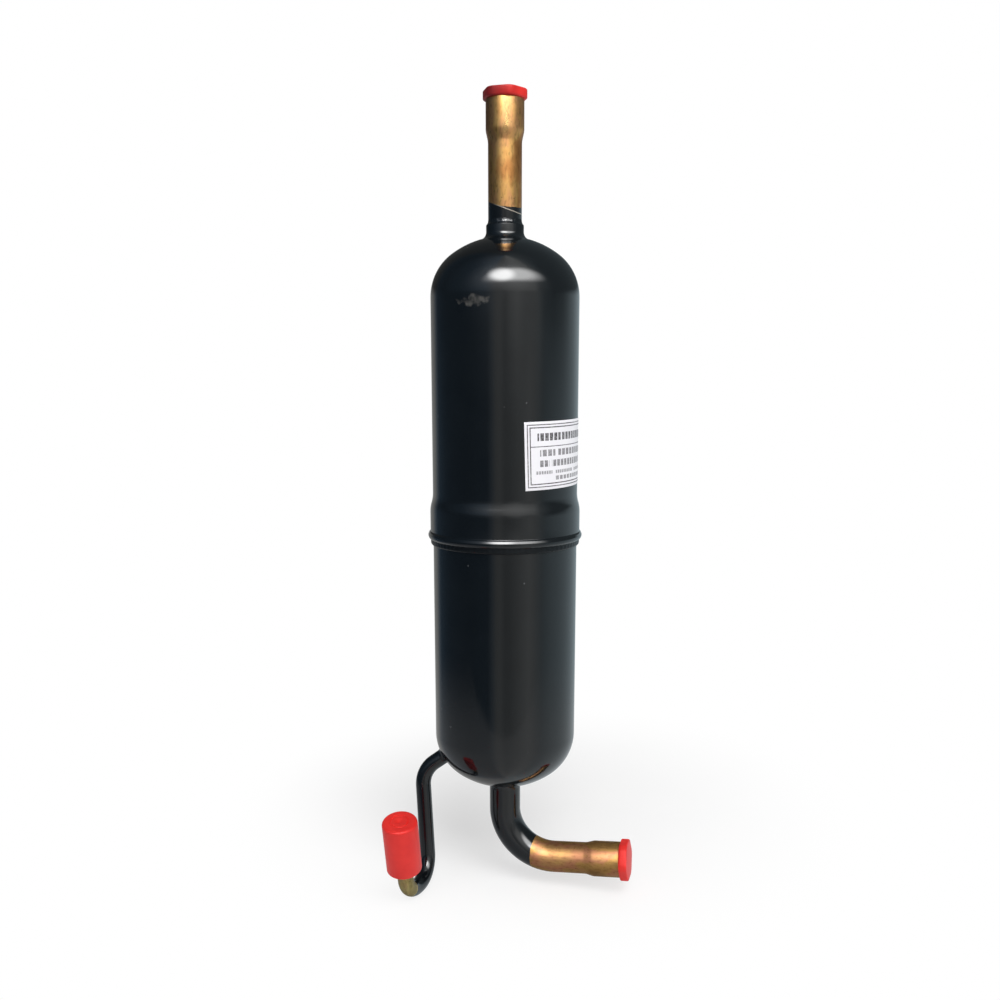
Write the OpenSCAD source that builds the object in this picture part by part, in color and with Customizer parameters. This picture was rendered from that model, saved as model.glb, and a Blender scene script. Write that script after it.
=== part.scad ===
// Refrigeration oil separator: a vessel of two drawn steel shells with a gas inlet tube on top,
// a gas outlet tube that stands up inside and leaves below through an elbow, and an oil return
// tube from the lower dome. Red transit plugs and a cap close the three tube ends.
// Lengths are in millimetres and +Z runs up the vessel. The origin lies on the vessel's axis,
// in the middle of the band of the upper shell that a pipe clamp holds. The elbow points to +X.

/* [Shells] */
// Outside diameter of both shells
shell_d = 57; // [50:0.5:62]
// Sheet thickness of both shells
shell_wall = 1; // [0.8:0.1:1.4]
// Straight length of the upper shell, from the seam to its dome
upper_len = 91; // [82:0.5:130]
// Straight length of the lower shell, from the seam to its dome
lower_len = 82; // [60:0.5:120]
// Height of both domes
dome_h = 22.5; // [21:0.5:24]
// Knuckle radius where a dome meets the straight wall
knuckle_r = 19.5; // [15:0.5:20]
// Height of the clamp band's middle above the seam
clamp_height = 54; // [45:0.5:65]

/* [Seam] */
// Height of the upper shell's bell, which slips over the lower shell
bell_h = 9; // [8:0.5:11.5]
// Height of the S-shaped step from the bell to the straight wall
flare_h = 7.7; // [4.4:1.1:8.8]
// Radial clearance of the lower shell in the bell
bell_clear = 0.1; // [0.05:0.05:0.3]
// Length of the lower shell inside the bell
spigot_len = 9; // [6:0.5:10]
// Radius of the rolled lip at the bell's edge
lip_r = 1.9; // [1.4:0.1:2.5]
// Radius of the weld bead under the lip
weld_r = 1; // [0.6:0.1:1.6]

/* [Gas tubes] */
// Outside diameter of the inlet and outlet tubes
tube_d = 12.7; // [9.5:0.1:16]
// Wall of the inlet and outlet tubes
tube_wall = 0.8; // [0.6:0.1:1.2]
// Radial clearance of a mating tube in the sockets
socket_clear = 0.05; // [0.03:0.01:0.1]
// Depth of the sockets
socket_depth = 10.8; // [9.5:0.1:14]
// Length of the swaged taper behind a socket
socket_taper = 4; // [2.5:0.5:6]
// Height of the inlet collar above the upper dome
collar_h = 4; // [3:0.5:6]
// Wall of the inlet collar
collar_wall = 0.7; // [0.5:0.1:1]
// Fillet between the collar and the dome
collar_fillet = 3; // [2:0.5:4]
// Length of the inlet tube above its collar
inlet_rise = 44.5; // [30:0.5:70]
// Length of the inlet tube below the top of the dome
inlet_dip = 16; // [8:0.5:20]

/* [Outlet elbow] */
// Height of the standpipe's mouth above the seam
standpipe_top = 3; // [-20:0.5:6]
// Straight length from the lower dome to the bend
outlet_drop = 11; // [8:0.1:30]
// Bend radius of the outlet tube
outlet_bend_r = 20; // [17:0.5:28]
// Angle that the outlet tube is bent through
outlet_bend = 94; // [85:1:98]
// Straight length from the bend to the socket's mouth
outlet_leg = 28; // [24:0.5:50]

/* [Oil return] */
// Outside diameter of the oil return tube
oil_d = 6.35; // [5:0.05:8]
// Wall of the oil return tube
oil_wall = 0.7; // [0.5:0.1:1]
// Direction in which the oil return tube leaves, counted from +X
oil_azimuth = 190; // [170:1:200]
// Angle below the horizontal at which it leaves the lower dome
oil_dip = 36; // [30:1:45]
// Bend radius of the oil return tube
oil_bend_r = 11; // [9:0.5:13]
// Length of its end inside the vessel
oil_inside = 2.5; // [1:0.5:4]
// Straight length outside the dome, before the first bend
oil_exit_len = 6.1; // [5:0.1:12]
// Straight length of the falling leg
oil_leg_len = 28.5; // [20:0.5:40]
// Straight length at the foot of the hook
oil_hook_len = 1; // [0.5:0.5:8]
// Straight length of the rising end
oil_end_len = 23; // [20:0.5:32]
// Roll of the tube before its first bend
oil_roll_1 = 12; // [0:0.5:25]
// Angle of its first bend
oil_turn_1 = 59; // [52:0.5:66]
// Roll of the tube before its second bend
oil_roll_2 = 102.5; // [95:0.5:125]
// Angle of its second bend
oil_turn_2 = 78.5; // [70:0.5:90]
// Roll of the tube before its third bend
oil_roll_3 = -11.5; // [-25:0.5:5]
// Angle of its third bend
oil_turn_3 = 78; // [70:0.5:90]

/* [Plugs and cap] */
// Diameter over the rounded corners of a plug's hexagonal flange
plug_flange_d = 17.8; // [16.5:0.1:22]
// Width of a plug's flange across its flats
plug_flats = 15.6; // [14.8:0.1:19]
// Thickness of a plug's flange
plug_flange_t = 3.4; // [2.4:0.1:5]
// Rounding of a plug flange's edges
plug_edge_r = 0.8; // [0.4:0.1:1.1]
// Length of a plug's stem
plug_stem_len = 9; // [6:0.5:9.5]
// Wall of a plug's stem
plug_stem_wall = 1.2; // [0.8:0.1:2]
// Radial clearance of the plug stems and of the cap
plug_clear = 0.05; // [0.02:0.01:0.1]
// Diameter of the oil return cap
cap_d = 14; // [12:0.5:18]
// Length of the oil return cap
cap_len = 23; // [19:0.5:30]
// Length of tube that the cap covers
cap_cover = 17; // [10:0.5:18]
// Rounding of the cap's upper edge
cap_edge_r = 1.2; // [0.6:0.1:2]
// Diameter of the ring moulded into the cap's top
cap_ring_d = 7; // [5:0.5:8.5]

/* [Label] */
// Length of the label around the shell
label_w = 50; // [30:1:70]
// Height of the label
label_h = 25.2; // [15:0.2:30]
// Thickness of the label
label_t = 0.12; // [0.1:0.01:0.18]
// Height of the label's middle above the seam
label_height = 33; // [32:0.5:60]
// Direction that the label's middle faces, counted from +X
label_azimuth = -10; // [-60:1:60]
// Slant of the label on the shell
label_slant = 1.5; // [-3:0.5:3]

/* [Inside] */
// Height of the lower screen above the seam
screen_height = 27; // [26:0.5:36]
// Thickness of the two perforated screens
screen_t = 1; // [0.8:0.1:1.5]
// Diameter of the holes in the screens
screen_hole_d = 4.5; // [3:0.5:5.5]
// Pitch of the rings of holes
screen_pitch = 7.5; // [6.5:0.5:9]
// Thickness of wire of the two rings that hold the screens
ring_wire = 2.4; // [1.6:0.2:3]
// Radial clearance of the screens and the mesh roll in the shell
screen_clear = 0.2; // [0.1:0.05:0.3]
// Height of the mesh roll
mesh_h = 30; // [20:1:36]
// Thickness of one turn of mesh
mesh_t = 1.6; // [1:0.1:2]
// Pitch of the mesh roll's turns
mesh_pitch = 3.2; // [2.6:0.1:4]
// Diameter of the hat over the standpipe
hat_d = 30; // [22:0.5:40]
// Thickness of the hat's sheet
hat_wall = 0.8; // [0.6:0.1:1.2]
// Height of the hat's cone
hat_cone_h = 5; // [3:0.5:7]
// Height of the gap between the standpipe's mouth and the hat
hat_gap = 7; // [5:0.5:9]
// Length of the hat's legs on the standpipe
hat_grip = 6; // [4:0.5:10]
// Angle that one leg takes around the standpipe
hat_leg_angle = 46; // [30:2:60]

/* [Hidden] */
$fn = 96;

black_enamel = "#15181b";
bare_copper = "#b98452";
plain_steel = "#9a9c9e";
red_plastic = "#d9352f";
label_white = "#f3f3ef";

// Hair gap between pieces that are welded, brazed or glued together
bond = 0.02;
// Radial gap that brazing metal fills around a tube in its hole
braze_gap = 0.1;
// Width and height of the brazed fillets
braze_leg = 2;
// Extra reach of a cutting shape past the face that it cuts
overrun = 1;
// How far a tube's straight parts lap over its bends, and how much thinner each face of a bend is
bend_lap = 0.2;
bend_ease = 0.01;
// Segments of a small fillet, and of one turn of the mesh roll
fillet_steps = 6;
turn_steps = 18;
// Facets around a screen's hole, and around a piece that is cut to the dome's curve
hole_facets = 24;
fine_facets = 300;
// Legs of the hat, holes in the first ring of a screen, and sides of a plug's flange
hat_legs = 3;
first_ring = 6;
flange_sides = 6;

shell_r = shell_d / 2;
inner_r = shell_r - shell_wall;
bell_r = shell_r + bell_clear;
bell_step = bell_clear + shell_wall;
flare_r = (flare_h * flare_h + bell_step * bell_step) / (4 * bell_step);
// A crown that runs smoothly into the knuckle at the given dome height
crown_r = (shell_r * shell_r - 2 * shell_r * knuckle_r + dome_h * dome_h) / (2 * (dome_h - knuckle_r));
crown_centre = [0, dome_h - crown_r];
knuckle_centre = [shell_r - knuckle_r, 0];
upper_pole = upper_len + dome_h;
lower_pole = -lower_len - dome_h;

tube_r = tube_d / 2;
bore_r = tube_r - tube_wall;
socket_r = tube_r + socket_clear;
socket_out_r = socket_r + tube_wall;
hole_r = tube_r + braze_gap;
collar_r = hole_r + collar_wall;
collar_top = upper_pole + collar_h;
inlet_mouth = collar_top + inlet_rise;

// Stages of the bent tubes, as a bender makes them: straight feed, roll and bend angle
outlet_stages = [
    [standpipe_top - lower_pole + outlet_drop, 0, outlet_bend],
    [outlet_leg - socket_depth - socket_taper, 0, 0]
];

oil_r = oil_d / 2;
oil_stages = [
    [shell_wall + oil_inside + oil_exit_len, oil_roll_1, oil_turn_1],
    [oil_leg_len, oil_roll_2, oil_turn_2],
    [oil_hook_len, oil_roll_3, oil_turn_3],
    [oil_end_len, 0, 0]
];

screen_r = inner_r - screen_clear;
mesh_base = screen_height + screen_t + bond;
mesh_top = mesh_base + mesh_h;
mesh_turns = floor((screen_r - mesh_t - mesh_pitch) / mesh_pitch);
hat_base = standpipe_top + hat_gap;

function unit(v) = v / norm(v);

// Moves a piece from the seam's height to the origin on the clamp band.
module from_seam() {
    translate([0, 0, -clamp_height]) children();
}

// Goes along one stage of a bent tube, which runs up +Z and bends toward its rolled +X.
module past_stage(stage, bend_r) {
    translate([0, 0, stage[0]])
    rotate([0, 0, stage[1]])
    translate([bend_r, 0, 0])
    rotate([0, stage[2], 0])
    translate([-bend_r, 0, 0])
        children();
}

// Goes to the end of a bent tube.
module at_end(stages, bend_r, i = 0) {
    if (i < len(stages)) past_stage(stages[i], bend_r) at_end(stages, bend_r, i + 1) children();
    else children();
}

// Tube along the stages of a bender.
module bent_tube(stages, bend_r, r, wall, i = 0) {
    before = i == 0 ? 0 : bend_lap;
    after = i == len(stages) - 1 ? 0 : bend_lap;
    rotate_extrude() translate([r - wall, -before]) square([wall, before + stages[i][0] + after]);
    if (after > 0) {
        translate([0, 0, stages[i][0]])
        rotate([0, 0, stages[i][1]])
        translate([bend_r, 0, 0])
        rotate([90, 0, 180])
        rotate_extrude(angle = stages[i][2])
        translate([bend_r, 0])
        difference() {
            circle(r = r - bend_ease);
            circle(r = r - wall + bend_ease);
        }
        past_stage(stages[i], bend_r) bent_tube(stages, bend_r, r, wall, i + 1);
    }
}

// Puts the standpipe's mouth in place, with +Z running down the tube.
module at_standpipe() {
    translate([0, 0, standpipe_top]) rotate([180, 0, 0]) children();
}

// Goes to the centre of the lower dome's knuckle, with +Z along the oil tube's way out.
module at_oil_knuckle() {
    rotate([0, 0, oil_azimuth])
    translate([knuckle_centre.x, 0, -lower_len])
    rotate([0, 90 + oil_dip, 0])
        children();
}

// Goes to the oil tube's end inside the vessel.
module at_oil_start() {
    at_oil_knuckle() translate([0, 0, knuckle_r - shell_wall - oil_inside]) children();
}

// Half section of a dome above its tangent line, set in by t from the outside.
module dome_section(t) {
    far = 2 * crown_r;
    split = unit(knuckle_centre - crown_centre);
    intersection() {
        translate(crown_centre) circle(r = crown_r - t);
        polygon([crown_centre, crown_centre + [0, far], crown_centre + far * split]);
    }
    intersection() {
        translate(knuckle_centre) circle(r = knuckle_r - t);
        polygon([knuckle_centre, knuckle_centre + far * split, knuckle_centre + [far, 0]]);
    }
}

// Half section of the S-shaped step, set in by t: a hollow arc above and a round arc below.
module flare_section(t) {
    r = shell_r - t;
    difference() {
        translate([0, flare_h / 2]) square([r + bell_step, flare_h / 2]);
        translate([r + flare_r, flare_h]) circle(r = flare_r);
    }
    intersection() {
        square([r + bell_step, flare_h / 2]);
        translate([r + bell_step - flare_r, 0]) circle(r = flare_r);
    }
}

// Half section of the upper shell, set in by t, from the given foot up.
module upper_section(t, foot) {
    translate([0, foot]) square([shell_r - t, upper_len - foot]);
    translate([0, foot]) square([bell_r + shell_wall - t, bell_h - foot]);
    translate([0, bell_h]) flare_section(t);
    translate([0, upper_len]) dome_section(t);
}

// Half section of the collar that is pulled out of the upper dome, with its fillet.
module collar_section() {
    reach = crown_r + collar_fillet;
    drop = sqrt(reach * reach - (collar_r + collar_fillet) * (collar_r + collar_fillet));
    centre = [collar_r + collar_fillet, upper_len + crown_centre.y + drop];
    sweep = 90 - asin((collar_r + collar_fillet) / reach);
    arc = [for (i = [0 : fillet_steps])
        centre - collar_fillet * [cos(sweep * i / fillet_steps), sin(sweep * i / fillet_steps)]];
    foot = arc[fillet_steps] - [0, shell_wall / 2];
    polygon(concat([[0, collar_top], [collar_r, collar_top]], arc, [foot, [0, foot.y]]));
}

module upper_shell() {
    color(black_enamel)
    from_seam()
    difference() {
        union() {
            rotate_extrude() upper_section(0, 0);
            rotate_extrude() translate([bell_r, 0]) circle(r = lip_r);
            rotate_extrude() collar_section();
        }
        rotate_extrude() upper_section(shell_wall, -2 * lip_r);
        cylinder(h = collar_top + overrun, r = hole_r);
    }
}

// Solid inside the lower shell's wall, set in by t, with its straight part up to the given top.
module lower_body(t, top) {
    rotate_extrude() {
        translate([0, -lower_len]) square([shell_r - t, lower_len + top]);
        translate([0, -lower_len]) mirror([0, 1]) dome_section(t);
    }
}

module lower_shell() {
    color(black_enamel)
    from_seam()
    difference() {
        lower_body(0, spigot_len);
        lower_body(shell_wall, spigot_len + overrun);
        translate([0, 0, lower_pole - overrun]) cylinder(h = dome_h, r = hole_r);
        at_oil_start() cylinder(h = oil_inside + shell_wall + overrun, r = oil_r + braze_gap);
    }
}

module girth_weld() {
    color(black_enamel)
    from_seam()
    translate([0, 0, -lip_r - bond - weld_r])
    rotate_extrude() intersection() {
        translate([shell_r, 0]) circle(r = weld_r);
        translate([shell_r + bond, -weld_r]) square(2 * weld_r);
    }
}

// Swaged end of a gas tube from its plain end at z = 0 up to the socket's mouth.
module socket_end() {
    mouth = socket_taper + socket_depth;
    rotate_extrude() polygon([
        [bore_r, 0], [tube_r, 0], [socket_out_r, socket_taper], [socket_out_r, mouth],
        [socket_r, mouth], [socket_r, socket_taper]
    ]);
}

module inlet_tube() {
    foot = upper_pole - inlet_dip;
    swage = inlet_mouth - socket_depth - socket_taper;
    color(bare_copper)
    from_seam() {
        translate([0, 0, foot]) rotate_extrude() translate([bore_r, 0]) square([tube_wall, swage - foot]);
        translate([0, 0, swage]) socket_end();
    }
}

module inlet_braze() {
    color(black_enamel)
    from_seam()
    translate([0, 0, collar_top + bond])
    rotate_extrude() polygon([[tube_r + bond, 0], [collar_r, 0], [tube_r + bond, braze_leg]]);
}

module outlet_tube() {
    color(bare_copper)
    from_seam()
    at_standpipe() {
        bent_tube(outlet_stages, outlet_bend_r, tube_r, tube_wall);
        at_end(outlet_stages, outlet_bend_r) socket_end();
    }
}

module outlet_braze() {
    color(black_enamel)
    from_seam()
    rotate_extrude() difference() {
        polygon([
            [tube_r + bond, lower_pole - braze_leg],
            [tube_r + braze_leg, lower_pole + braze_leg / 2],
            [tube_r + bond, lower_pole + shell_wall / 2]
        ]);
        translate([0, -lower_len - crown_centre.y]) circle(r = crown_r + bond);
    }
}

module oil_return_tube() {
    color(bare_copper)
    from_seam()
    at_oil_start()
        bent_tube(oil_stages, oil_bend_r, oil_r, oil_wall);
}

module oil_return_braze() {
    $fn = fine_facets;
    color(black_enamel)
    from_seam()
    difference() {
        at_oil_knuckle() translate([0, 0, knuckle_r]) rotate_extrude() polygon([
            [oil_r + bond, braze_leg], [oil_r + bond, -shell_wall / 2], [oil_r + braze_leg, -shell_wall]
        ]);
        lower_body(-bond, 0);
    }
}

// Push-in plug with its flange's seat at z = 0, its stem below and its hexagonal flange above.
module plug() {
    stem_r = socket_r - plug_clear;
    flange_r = plug_flange_d / 2;
    edge = plug_edge_r;
    intersection() {
        linear_extrude(plug_flange_t)
            circle(r = plug_flats / 2 / cos(180 / flange_sides), $fn = flange_sides);
        rotate_extrude() {
            square([flange_r - edge, plug_flange_t]);
            translate([0, edge]) square([flange_r, plug_flange_t - 2 * edge]);
            for (z = [edge, plug_flange_t - edge])
                translate([flange_r - edge, z]) circle(r = edge);
        }
    }
    rotate_extrude() polygon([
        [stem_r - plug_stem_wall, 0], [stem_r, 0], [stem_r, edge - plug_stem_len],
        [stem_r - edge, -plug_stem_len], [stem_r - plug_stem_wall, -plug_stem_len]
    ]);
}

module inlet_plug() {
    color(red_plastic)
    from_seam()
    translate([0, 0, inlet_mouth + bond]) plug();
}

module outlet_plug() {
    color(red_plastic)
    from_seam()
    at_standpipe()
    at_end(outlet_stages, outlet_bend_r)
    translate([0, 0, socket_taper + socket_depth + bond])
        rotate(180 / flange_sides) plug();
}

module oil_return_cap() {
    cap_r = cap_d / 2;
    bore = oil_r + plug_clear;
    ring_r = cap_ring_d / 2;
    groove = cap_edge_r / 2;
    color(red_plastic)
    from_seam()
    at_oil_start()
    at_end(oil_stages, oil_bend_r)
    translate([0, 0, bond - cap_cover])
    rotate_extrude() difference() {
        union() {
            square([cap_r - cap_edge_r, cap_len]);
            square([cap_r, cap_len - cap_edge_r]);
            translate([cap_r - cap_edge_r, cap_len - cap_edge_r]) circle(r = cap_edge_r);
        }
        translate([0, -overrun]) square([bore, cap_cover + overrun]);
        translate([ring_r - groove / 2, cap_len - groove / 2]) square([groove, groove]);
    }
}

module label() {
    half = label_w / shell_d * 180 / PI;
    color(label_white)
    from_seam()
    intersection() {
        difference() {
            cylinder(h = upper_len, r = shell_r + bond + label_t);
            translate([0, 0, -overrun]) cylinder(h = upper_len + 2 * overrun, r = shell_r + bond);
        }
        rotate([0, 0, label_azimuth])
        translate([shell_r, 0, label_height])
        rotate([label_slant, 0, 0])
        translate([-shell_r, 0, 0])
        rotate([0, 0, -half])
        rotate_extrude(angle = 2 * half)
            translate([shell_r - overrun, -label_h / 2]) square([2 * overrun, label_h]);
    }
}

// Perforated disc: one hole in the middle and rings of six, twelve, eighteen and so on.
module screen() {
    rings = floor((screen_r - screen_hole_d / 2 - screen_t) / screen_pitch);
    difference() {
        cylinder(h = screen_t, r = screen_r);
        for (ring = [0 : rings], i = [0 : max(1, first_ring * ring) - 1])
            rotate([0, 0, 360 * i / max(1, first_ring * ring)])
            translate([ring * screen_pitch, 0, -overrun])
                cylinder(h = screen_t + 2 * overrun, d = screen_hole_d, $fn = hole_facets);
    }
}

module upper_screen() {
    color(plain_steel)
    from_seam()
    translate([0, 0, mesh_top + bond]) screen();
}

// Knitted wire mesh, rolled up: one strip wound from the core to the shell.
module mesh_roll() {
    steps = mesh_turns * turn_steps;
    outer_r = screen_r - mesh_t / 2;
    path_r = function(i) outer_r - mesh_pitch * (steps - i) / turn_steps;
    side = function(offset) [for (i = [0 : steps])
        (path_r(i) + offset) * [cos(360 * i / turn_steps), sin(360 * i / turn_steps)]];
    inside = side(-mesh_t / 2);
    color(plain_steel)
    from_seam()
    translate([0, 0, mesh_base])
    linear_extrude(mesh_h)
        polygon(concat(side(mesh_t / 2), [for (i = [steps : -1 : 0]) inside[i]]));
}

module lower_screen() {
    color(plain_steel)
    from_seam()
    translate([0, 0, screen_height]) screen();
}

module screen_rings() {
    wire_r = ring_wire / 2;
    color(plain_steel)
    from_seam()
    for (z = [screen_height - wire_r - bond, mesh_top + screen_t + wire_r + 2 * bond])
        translate([0, 0, z]) rotate_extrude() translate([inner_r - bond - wire_r, 0]) circle(r = wire_r);
}

module standpipe_hat() {
    hat_r = hat_d / 2;
    grip_r = tube_r + bond;
    top = hat_base + hat_cone_h * (1 - grip_r / hat_r);
    color(plain_steel)
    from_seam() {
        rotate_extrude() polygon([
            [0, hat_base + hat_cone_h], [hat_r, hat_base],
            [hat_r, hat_base + hat_wall], [0, hat_base + hat_cone_h + hat_wall]
        ]);
        for (i = [0 : hat_legs - 1])
            rotate([0, 0, 360 * i / hat_legs])
            rotate_extrude(angle = hat_leg_angle)
                translate([grip_r, standpipe_top - hat_grip])
                square([hat_wall, top - standpipe_top + hat_grip]);
    }
}

upper_shell();
lower_shell();
girth_weld();
inlet_tube();
inlet_braze();
outlet_tube();
outlet_braze();
oil_return_tube();
oil_return_braze();
inlet_plug();
outlet_plug();
oil_return_cap();
label();
upper_screen();
mesh_roll();
lower_screen();
screen_rings();
standpipe_hat();
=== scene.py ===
import math

import bpy
from mathutils import Matrix, Vector


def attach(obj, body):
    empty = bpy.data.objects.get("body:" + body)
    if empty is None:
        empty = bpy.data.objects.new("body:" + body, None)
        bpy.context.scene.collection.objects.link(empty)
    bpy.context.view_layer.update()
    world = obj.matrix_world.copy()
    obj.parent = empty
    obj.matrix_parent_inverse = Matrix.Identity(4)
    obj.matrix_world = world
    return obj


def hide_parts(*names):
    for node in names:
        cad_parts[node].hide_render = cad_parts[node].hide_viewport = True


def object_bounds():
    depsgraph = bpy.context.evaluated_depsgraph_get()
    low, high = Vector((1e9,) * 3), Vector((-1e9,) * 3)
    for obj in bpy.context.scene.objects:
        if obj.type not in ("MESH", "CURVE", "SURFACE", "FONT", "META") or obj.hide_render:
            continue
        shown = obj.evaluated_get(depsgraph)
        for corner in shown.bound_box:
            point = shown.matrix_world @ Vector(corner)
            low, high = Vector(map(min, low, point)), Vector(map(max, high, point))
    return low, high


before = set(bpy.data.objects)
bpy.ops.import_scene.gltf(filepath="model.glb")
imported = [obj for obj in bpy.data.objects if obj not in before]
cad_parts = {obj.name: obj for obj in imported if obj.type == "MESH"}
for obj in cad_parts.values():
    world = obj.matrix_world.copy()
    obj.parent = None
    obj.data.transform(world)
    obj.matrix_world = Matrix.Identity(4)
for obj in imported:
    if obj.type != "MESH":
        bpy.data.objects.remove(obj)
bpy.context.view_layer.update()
bpy.context.scene.view_settings.view_transform = "Standard"

# Upper shell
# A cup deep-drawn from 1 mm steel sheet: a domed top with a collar pulled up for the inlet tube,
# and an open end that is belled out over the lower shell, with its edge rolled to a lip.
# The whole vessel is enamelled black after it is welded and brazed.
MM = 0.001
CLAMP_HEIGHT = 54
SHELL_R = 28.5
WALL = 1
UPPER_LEN = 91
# Heights of the rings of points along the straight wall.
UPPER_ROWS = (70, 50, 30)
DOME_H = 22.5
KNUCKLE_R = 19.5
CROWN_R = 34.5
BELL_H = 9
FLARE_H = 7.7
BELL_STEP = 1.1
LIP_R = 1.9
LIP_FLAT_FROM = 36
LIP_FLAT_TO = 8
LIP_FLAT_EASE = 6
COLLAR_R = 7.15
COLLAR_BORE = 6.45
COLLAR_H = 4
COLLAR_TOP = UPPER_LEN + DOME_H + COLLAR_H
COLLAR_FILLET = 3
CLEAR = 0.3
# Heights count from the seam, and the frame's origin lies at the clamp above it.
seam = Matrix.Translation((0, 0, -CLAMP_HEIGHT * MM))


def arc(centre, radius, first, last, steps):
    """Points of a half section along an arc, with its angles in degrees from the outside."""
    angles = [math.radians(first + (last - first) * i / steps) for i in range(steps + 1)]
    return [(centre[0] + radius * math.cos(a), centre[1] + radius * math.sin(a)) for a in angles]


def dome(inset, tangent, up):
    """Half section of a dome from its tangent line to the axis: knuckle, then crown."""
    meet = math.degrees(math.atan2(CROWN_R - DOME_H, SHELL_R - KNUCKLE_R))
    knuckle = arc((SHELL_R - KNUCKLE_R, 0), KNUCKLE_R - inset, 0, meet, 16)
    crown = arc((0, DOME_H - CROWN_R), CROWN_R - inset, meet, 90, 16)
    return [(r, tangent + up * h) for r, h in knuckle + crown[1:]]


def crown_at(radius, inset):
    """Height of a dome's crown above its tangent line at a radius."""
    return DOME_H - CROWN_R + math.sqrt((CROWN_R - inset) ** 2 - radius**2)


def flare(inset):
    """Half section of the S-shaped step between the bell and the straight wall, going up."""
    radius = (FLARE_H**2 + BELL_STEP**2) / (4 * BELL_STEP)
    sweep = math.degrees(math.asin(FLARE_H / 2 / radius))
    wall = SHELL_R - inset
    low = arc((wall + BELL_STEP - radius, BELL_H), radius, 0, sweep, 8)
    high = arc((wall + radius, BELL_H + FLARE_H), radius, 180 + sweep, 180, 8)
    return low + high[1:]


def clear_of(radius, points):
    """Points of a half section that lie clear outside a collar or a hole."""
    return [p for p in points if p[0] > radius + CLEAR]


def begin(name, add_primitive, **sizes):
    """Adds a primitive alone, as the start of a piece."""
    bpy.ops.object.select_all(action="DESELECT")
    add_primitive(**sizes)
    piece = bpy.context.object
    piece.name = piece.data.name = name
    return piece


def settle(piece, at):
    """Moves a piece to its place and keeps the place in its mesh."""
    piece.matrix_world = at
    bpy.ops.object.transform_apply(location=True, rotation=True, scale=True)


def turn(name, outline, steps=160, at=seam, closed=True):
    """Draws an outline point by point and spins it about its axis, like a piece on a lathe."""
    points = [Vector((radius * MM, 0, height * MM)) for radius, height in outline]
    piece = begin(name, bpy.ops.mesh.primitive_plane_add, size=MM)
    bpy.ops.object.mode_set(mode="EDIT")
    bpy.ops.mesh.select_all(action="SELECT")
    bpy.ops.mesh.merge(type="CENTER")
    bpy.ops.transform.translate(value=points[0])
    for before, after in zip(points, points[1:] + points[:1] if closed else points[1:]):
        bpy.ops.mesh.extrude_region_move(TRANSFORM_OT_translate={"value": after - before})
    bpy.ops.mesh.select_all(action="SELECT")
    bpy.ops.mesh.spin(steps=steps, angle=math.tau, center=(0, 0, 0), axis=(0, 0, 1))
    bpy.ops.mesh.select_all(action="SELECT")
    bpy.ops.mesh.remove_doubles(threshold=0.001 * MM)
    bpy.ops.mesh.normals_make_consistent(inside=False)
    bpy.ops.object.mode_set(mode="OBJECT")
    settle(piece, at)
    return piece


def apply_modifier(piece, kind, **settings):
    """Picks a piece alone and applies a modifier to it."""
    modifier = piece.modifiers.new(kind.lower(), kind)
    for name, value in settings.items():
        setattr(modifier, name, value)
    bpy.ops.object.select_all(action="DESELECT")
    piece.select_set(True)
    bpy.context.view_layer.objects.active = piece
    bpy.ops.object.modifier_apply(modifier=modifier.name)


def smooth(angle):
    """Smooths the edges of the picked piece that are flatter than the angle."""
    bpy.ops.object.shade_smooth_by_angle(angle=math.radians(angle))


def soften(piece, width, segments=3, angle=40):
    """Rounds every edge sharper than the angle by a small bevel, and smooths the rest."""
    apply_modifier(
        piece,
        "BEVEL",
        width=width * MM,
        segments=segments,
        limit_method="ANGLE",
        angle_limit=math.radians(angle),
        use_clamp_overlap=True,
    )
    smooth(angle)


def finish(piece, body, slot, material, *nodes):
    """Gives a piece its finish and its place among the bodies."""
    piece.data.materials.clear()
    piece.data.materials.append(material)
    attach(piece, body)
    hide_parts(*nodes)


collar_side = COLLAR_R + COLLAR_FILLET
collar_centre = (collar_side, UPPER_LEN + crown_at(collar_side, -COLLAR_FILLET))
collar_lean = collar_side / (CROWN_R + COLLAR_FILLET)
lip_centre = (SHELL_R + BELL_STEP - WALL, 0)
lip_start = math.degrees(math.acos(WALL / LIP_R))
outside = [(COLLAR_BORE, COLLAR_TOP), (COLLAR_R, COLLAR_TOP)]
outside += arc(collar_centre, COLLAR_FILLET, 180, 270 - math.degrees(math.asin(collar_lean)), 10)
outside += clear_of(CROWN_R * collar_lean, dome(0, UPPER_LEN, 1)[::-1])
outside += [(SHELL_R, h) for h in UPPER_ROWS] + flare(0)[::-1]
# The roller leaves a narrow flat on the lip's upper face.
outside += arc(lip_centre, LIP_R, lip_start, LIP_FLAT_FROM + LIP_FLAT_EASE, 4)
flat_ends = arc(lip_centre, LIP_R, LIP_FLAT_FROM, LIP_FLAT_TO, 1)
outside += [
    tuple(a + (b - a) * t for a, b in zip(*flat_ends)) for t in (0, 0.12, 0.5, 0.88, 1)
]
outside += arc(lip_centre, LIP_R, LIP_FLAT_TO - LIP_FLAT_EASE, -90, 16)
inside = clear_of(COLLAR_BORE, flare(WALL) + dome(WALL, UPPER_LEN, 1))
inside += [(COLLAR_BORE, UPPER_LEN + crown_at(COLLAR_BORE, WALL))]
upper_shell = turn("upper_shell_body", outside + inside)
soften(upper_shell, width=0.3)


def linear(text):
    """sRGB hex colour as the linear RGBA that a shader's socket takes."""
    parts = [int(text[i : i + 2], 16) / 255 for i in (1, 3, 5)]
    return tuple(c / 12.92 if c <= 0.04045 else ((c + 0.055) / 1.055) ** 2.4 for c in parts) + (1,)


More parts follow.
